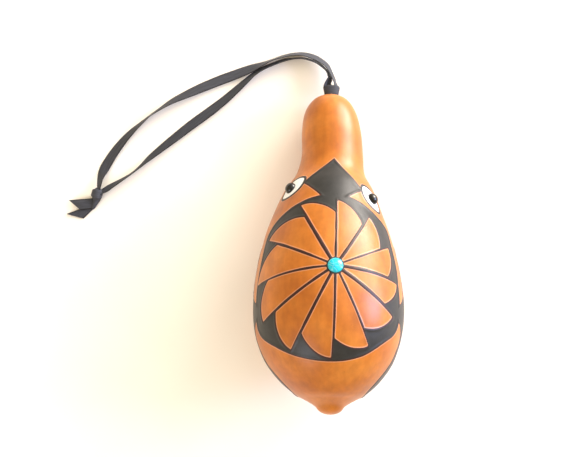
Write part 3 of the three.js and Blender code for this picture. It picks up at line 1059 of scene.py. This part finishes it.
# %% Cut tails
SHEET_STEPS = (24, 10)
TAIL_SHEETS = {
    "ribbon_tail_upper": {
        "near": ((-106.0, 22.5), (-106.0, 27.2)), "far": ((-112.7, 21.6), (-118, 25.9)),
        "heights": (1.3, 1.4), "bulge": 0.8, "curl": 0.5},
    "ribbon_tail_lower": {
        "near": ((-106.0, 23.2), (-107.4, 24.4)), "far": ((-111.4, 17.7), (-119.1, 19.6)),
        "heights": (0.7, 0.35), "bulge": 0.3, "curl": 0.4},
}


def ribbon_sheet(name, near, far, heights, bulge, curl):
    """A thin sheet between two slanting ends, each given by its corners, bulged along its middle."""
    steps_along, steps_across = SHEET_STEPS
    columns = steps_across + 1
    ahead, aside = np.meshgrid(
        np.linspace(0, 1, steps_along + 1), np.linspace(0, 1, columns), indexing="ij")
    edges = [
        np.multiply.outer(1 - ahead, np.array(near[side])) + np.multiply.outer(ahead, np.array(far[side]))
        for side in (0, 1)
    ]
    flat = edges[0] * (1 - aside)[..., None] + edges[1] * aside[..., None]
    fall = (1 - ahead) ** 2
    height = heights[0] * fall + heights[1] * (1 - fall) + curl * ahead ** 3 * aside
    height = height + bulge * np.sin(math.pi * aside) * np.sin(math.pi * ahead)
    faces = [
        [first, first + columns, first + columns + 1, first + 1]
        for row in range(steps_along) for first in range(row * columns, row * columns + steps_across)
    ]
    mesh = bpy.data.meshes.new(name)
    places = np.concatenate([flat, height[..., None]], axis=2).reshape(-1, 3)
    mesh.from_pydata((places * MM).tolist(), [], faces)
    length = np.linalg.norm(np.mean(far, axis=0) - np.mean(near, axis=0))
    for label, values in (("along", ahead * length), ("across", (aside - 0.5) * RIBBON_WIDTH)):
        layer = mesh.attributes.new(label, "FLOAT", "POINT")
        layer.data.foreach_set("value", (values * MM).astype(np.float32).ravel())
    mesh.materials.append(satin)
    mesh.shade_smooth()
    sheet = bpy.data.objects.new(name, mesh)
    scene.collection.objects.link(sheet)
    thicken = sheet.modifiers.new("thickness", "SOLIDIFY")
    thicken.thickness = RIBBON_THICK * MM
    thicken.offset = 0
    depsgraph = bpy.context.evaluated_depsgraph_get()
    sheet.data = bpy.data.meshes.new_from_object(sheet.evaluated_get(depsgraph), depsgraph=depsgraph)
    sheet.modifiers.clear()
    return sheet


tails = [
    place_piece(ribbon_sheet(name, **sizes), "satin_ribbon", name) for name, sizes in TAIL_SHEETS.items()
]


# %% [markdown]
# ## Knot
# Both strands go into one overhand knot, pulled tight. What shows is one turn of ribbon that grips the rest,
# so that turn is swept round a packed core, and the strands' last few millimetres run into it.

# %% Knot
KNOT_MIDDLE = np.array([-105.0, 28.9, 2.45])
KNOT_TURN = math.radians(75)
KNOT_FOLD = {
    "near": ((-102.7, 27.7), (-106.6, 28.2)), "far": ((-106.5, 21.9), (-107.6, 22.6)),
    "heights": (2.4, 1.6), "bulge": 1.3, "curl": 0.0}
# The turn that grips: half sizes across and up, width of the ribbon there, and its pinch, slant and ear.
WRAP_HALF = (2.3, 2.0)
WRAP_WIDTH = 4.2
WRAP_PINCH = 0.35
WRAP_SLANT = 0.25
PINCH_POWER = 3
EAR_REACH = 0.3
EAR_POWER = 6
WRAP_POINTS = 20
CORE = [(-3.4, 0), (-2.6, 1.2), (-1.2, 1.75), (1.2, 1.75), (2.6, 1.2), (3.4, 0)]
CORE_WIDEN = 1.2
ENTRY_FULLNESS = (0.97, 0.95, 0.5)
KNOT_ENTRIES = {"ribbon_strand_outer": (-104.7, 29.6, 2.5), "ribbon_strand_inner": (-104.4, 28.9, 2.8)}

knot_axis = np.array([math.cos(KNOT_TURN), math.sin(KNOT_TURN), 0])
knot_side = np.array([-knot_axis[1], knot_axis[0], 0])


def knot_wrap():
    """The turn of ribbon that grips the others, with a small ear where it folds over on the left."""
    turns = np.linspace(0, math.tau, WRAP_POINTS, endpoint=False)
    ear = 1 + EAR_REACH / WRAP_HALF[0] * np.clip(np.cos(turns), 0, 1) ** EAR_POWER
    ring = (
        KNOT_MIDDLE + np.outer(WRAP_HALF[0] * ear * np.cos(turns), knot_side)
        + np.outer(WRAP_HALF[1] * np.sin(turns), [0, 0, 1]))
    section = ribbon_section(WRAP_WIDTH)
    ways = np.tile(knot_axis, (WRAP_POINTS, 1)) + np.outer(WRAP_SLANT * np.sin(turns), knot_side)
    fullness = 1 - WRAP_PINCH * np.abs(np.cos(turns)) ** PINCH_POWER
    wrap = sweep_ribbon(
        "knot_wrap", ring, ways, closed=True, section=section, step=FOLD_STEP, fullness=fullness)
    bpy.data.objects.remove(section)
    return wrap


def knot_core():
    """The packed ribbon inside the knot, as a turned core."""
    core = turn_shape("knot_core", CORE, satin, rings=24, sides=24)
    axes = np.array([-knot_side * CORE_WIDEN, knot_axis, [0, 0, 1]])
    move_vertices(core, KNOT_MIDDLE + vertex_places(core) @ axes)
    return core


def knot_entry(strand, inside):
    """The last few millimetres of a strand, into the knot."""
    line = np.vstack([strand["line"][-3], strand["line"][-1], inside])
    ways = np.tile(strand["last_way"], (len(line), 1))
    return sweep_ribbon("knot_entry", line, ways, step=FOLD_STEP, fullness=ENTRY_FULLNESS)


knot = join("ribbon_knot", [
    knot_wrap(), knot_core(), ribbon_sheet("knot_fold", **KNOT_FOLD),
    *(knot_entry(strands[name], inside) for name, inside in KNOT_ENTRIES.items()),
])
place_piece(knot, "satin_ribbon", "ribbon_knot")


# %% Strands in place
for name, strand in strands.items():
    place_piece(strand["piece"], "satin_ribbon", name)
bpy.data.objects.remove(FULL_SECTION)


# %% [markdown]
# ## Screw eye
# A wire ring on a short shank is screwed into the stem end, and the hitch hides most of it. It is bent from
# round wire, so a second small tree sweeps a circle along a ring and along a straight shank. A torus would
# give the ring as well, but not the shank.

# %% Screw eye
RING_STATION, RING_RADIUS, WIRE_RADIUS = 98.6, 2.0, 0.55
SHANK_START, SHANK_RADIUS = 88.5, 0.8
WIRE_SIDES = 16
RING_POINTS = 40


def wire_sweep():
    """Tree that sweeps a round wire along a line."""
    tree, given = new_tree("wire_sweep", {"Wire radius": "Float", "Sides": "Int", "Finish": "Material"})
    line = add_node(tree, "GeometryNodeMeshToCurve", {"Mesh": given["Geometry"]})
    wire = add_node(tree, "GeometryNodeCurvePrimitiveCircle", {
        "Resolution": given["Sides"], "Radius": given["Wire radius"]})
    swept = add_node(tree, "GeometryNodeCurveToMesh", {
        "Curve": line, "Profile Curve": wire, "Fill Caps": True})
    return close_tree(tree, swept, given["Finish"])


WIRE = wire_sweep()
turns = np.linspace(0, math.tau, RING_POINTS, endpoint=False)
ring_line = at_rest(np.column_stack([
    RING_RADIUS * np.cos(turns), RING_STATION + RING_RADIUS * np.sin(turns), 0 * turns]))
ring = grow(polyline("eye_ring", ring_line, closed=True), WIRE, {
    "Wire radius": WIRE_RADIUS * MM, "Sides": WIRE_SIDES, "Finish": brass})
shank_line = at_rest([(0, SHANK_START, 0), (0, RING_STATION - RING_RADIUS, 0)])
shank = grow(polyline("eye_shank", shank_line), WIRE, {
    "Wire radius": SHANK_RADIUS * MM, "Sides": WIRE_SIDES, "Finish": brass})
place_piece(join("screw_eye", [ring, shank]), "brass_wire", "screw_eye")


# %% [markdown]
# ## Table
# The photograph shows a plain white table. One large flat board takes its place, a hair below the gourd,
# with a matt paint that is a little uneven.

# %% Table
TABLE_SIZE = 1600 * MM
TABLE_DROP = 0.05 * MM
BOARD_PATCH = 60


def white_board():
    """Painted white board: matt, almost even, with a touch of cream."""
    material, tree, shader = new_finish("white_board_painted")
    place = add_node(tree, "ShaderNodeTexCoord", output="Object")
    uneven = add_node(tree, "ShaderNodeTexNoise", {
        "Vector": place, "Scale": 1 / (BOARD_PATCH * MM), "Detail": 3.0})
    colour = add_node(
        tree, "ShaderNodeValToRGB", {"Fac": uneven},
        stops=((0.3, linear("#f8f2e8")), (0.7, linear("#fcf7ee"))),
    )
    fill(shader, {"Base Color": colour, "Roughness": 0.7})
    return material


half_table = TABLE_SIZE / 2
table_mesh = bpy.data.meshes.new("table")
table_mesh.from_pydata(
    [(x * half_table, y * half_table, -TABLE_DROP) for x, y in ((-1, -1), (1, -1), (1, 1), (-1, 1))],
    [], [(0, 1, 2, 3)])
table_mesh.materials.append(white_board())
table = bpy.data.objects.new("table", table_mesh)
scene.collection.objects.link(table)
print(f"Table: {TABLE_SIZE / MM:.0f} mm square")


# %% [markdown]
# ## Light
# Daylight comes from the upper right, and the shadow falls to the lower left. Soft square lights take the
# place of windows: the main one, a low one beside it that brightens the edge of the neck and shoulder, a
# cooler one on the right that gives the bluish gleam on a lower blade, and a weak one that lifts the left
# flank. A pale warm room fills in the rest.

# %% Light
# Places in metres. The lights are turned to the origin.
WINDOWS = {
    "main_window": {"place": (0.6, 0.73, 0.25), "size": 0.55, "watts": 11.6, "colour": "#fff5ec"},
    "cool_window": {"place": (0.87, 0.17, 0.39), "size": 0.38, "watts": 8.0, "colour": "#b4c8ff"},
    "left_window": {"place": (-0.5, -0.55, 0.6), "size": 0.42, "watts": 3.1, "colour": "#e0e8ff"},
    "edge_window": {"place": (0.72, 0.68, 0.09), "size": 0.3, "watts": 4.5, "colour": "#fffaf0"},
}
ROOM_BRIGHT_WAY = Vector((0.7, 0.6, 0.35)).normalized()
ROOM_STRENGTH = 2.05


def add_window(name, place, size, watts, colour):
    """A square area light at a place in metres, turned to the origin."""
    light = bpy.data.lights.new(name, "AREA")
    light.size = size
    light.energy = watts
    light.color = linear(colour)[:3]
    lamp = bpy.data.objects.new(name, light)
    lamp.location = place
    lamp.rotation_euler = Vector(place).to_track_quat("Z", "Y").to_euler()
    scene.collection.objects.link(lamp)


for name, window in WINDOWS.items():
    add_window(name, **window)

room = bpy.data.worlds.new("pale_room")
room.use_nodes = True
way = add_node(room.node_tree, "ShaderNodeTexCoord", output="Generated")
towards = add_node(
    room.node_tree, "ShaderNodeVectorMath", {0: way, 1: ROOM_BRIGHT_WAY}, "Value", operation="DOT_PRODUCT")
share = add_node(room.node_tree, "ShaderNodeMapRange", {"Value": towards, "From Min": -1.0})
walls = add_node(
    room.node_tree, "ShaderNodeValToRGB", {"Fac": share},
    stops=((0.15, linear("#c0ac86")), (1.0, linear("#fff8ea")), (0.7, linear("#a49984"))))
fill(room.node_tree.nodes["Background"], {"Color": walls, "Strength": ROOM_STRENGTH})
scene.world = room
scene.view_settings.view_transform = "Standard"
print(f"Lit by {len(WINDOWS)} soft windows and a pale room")
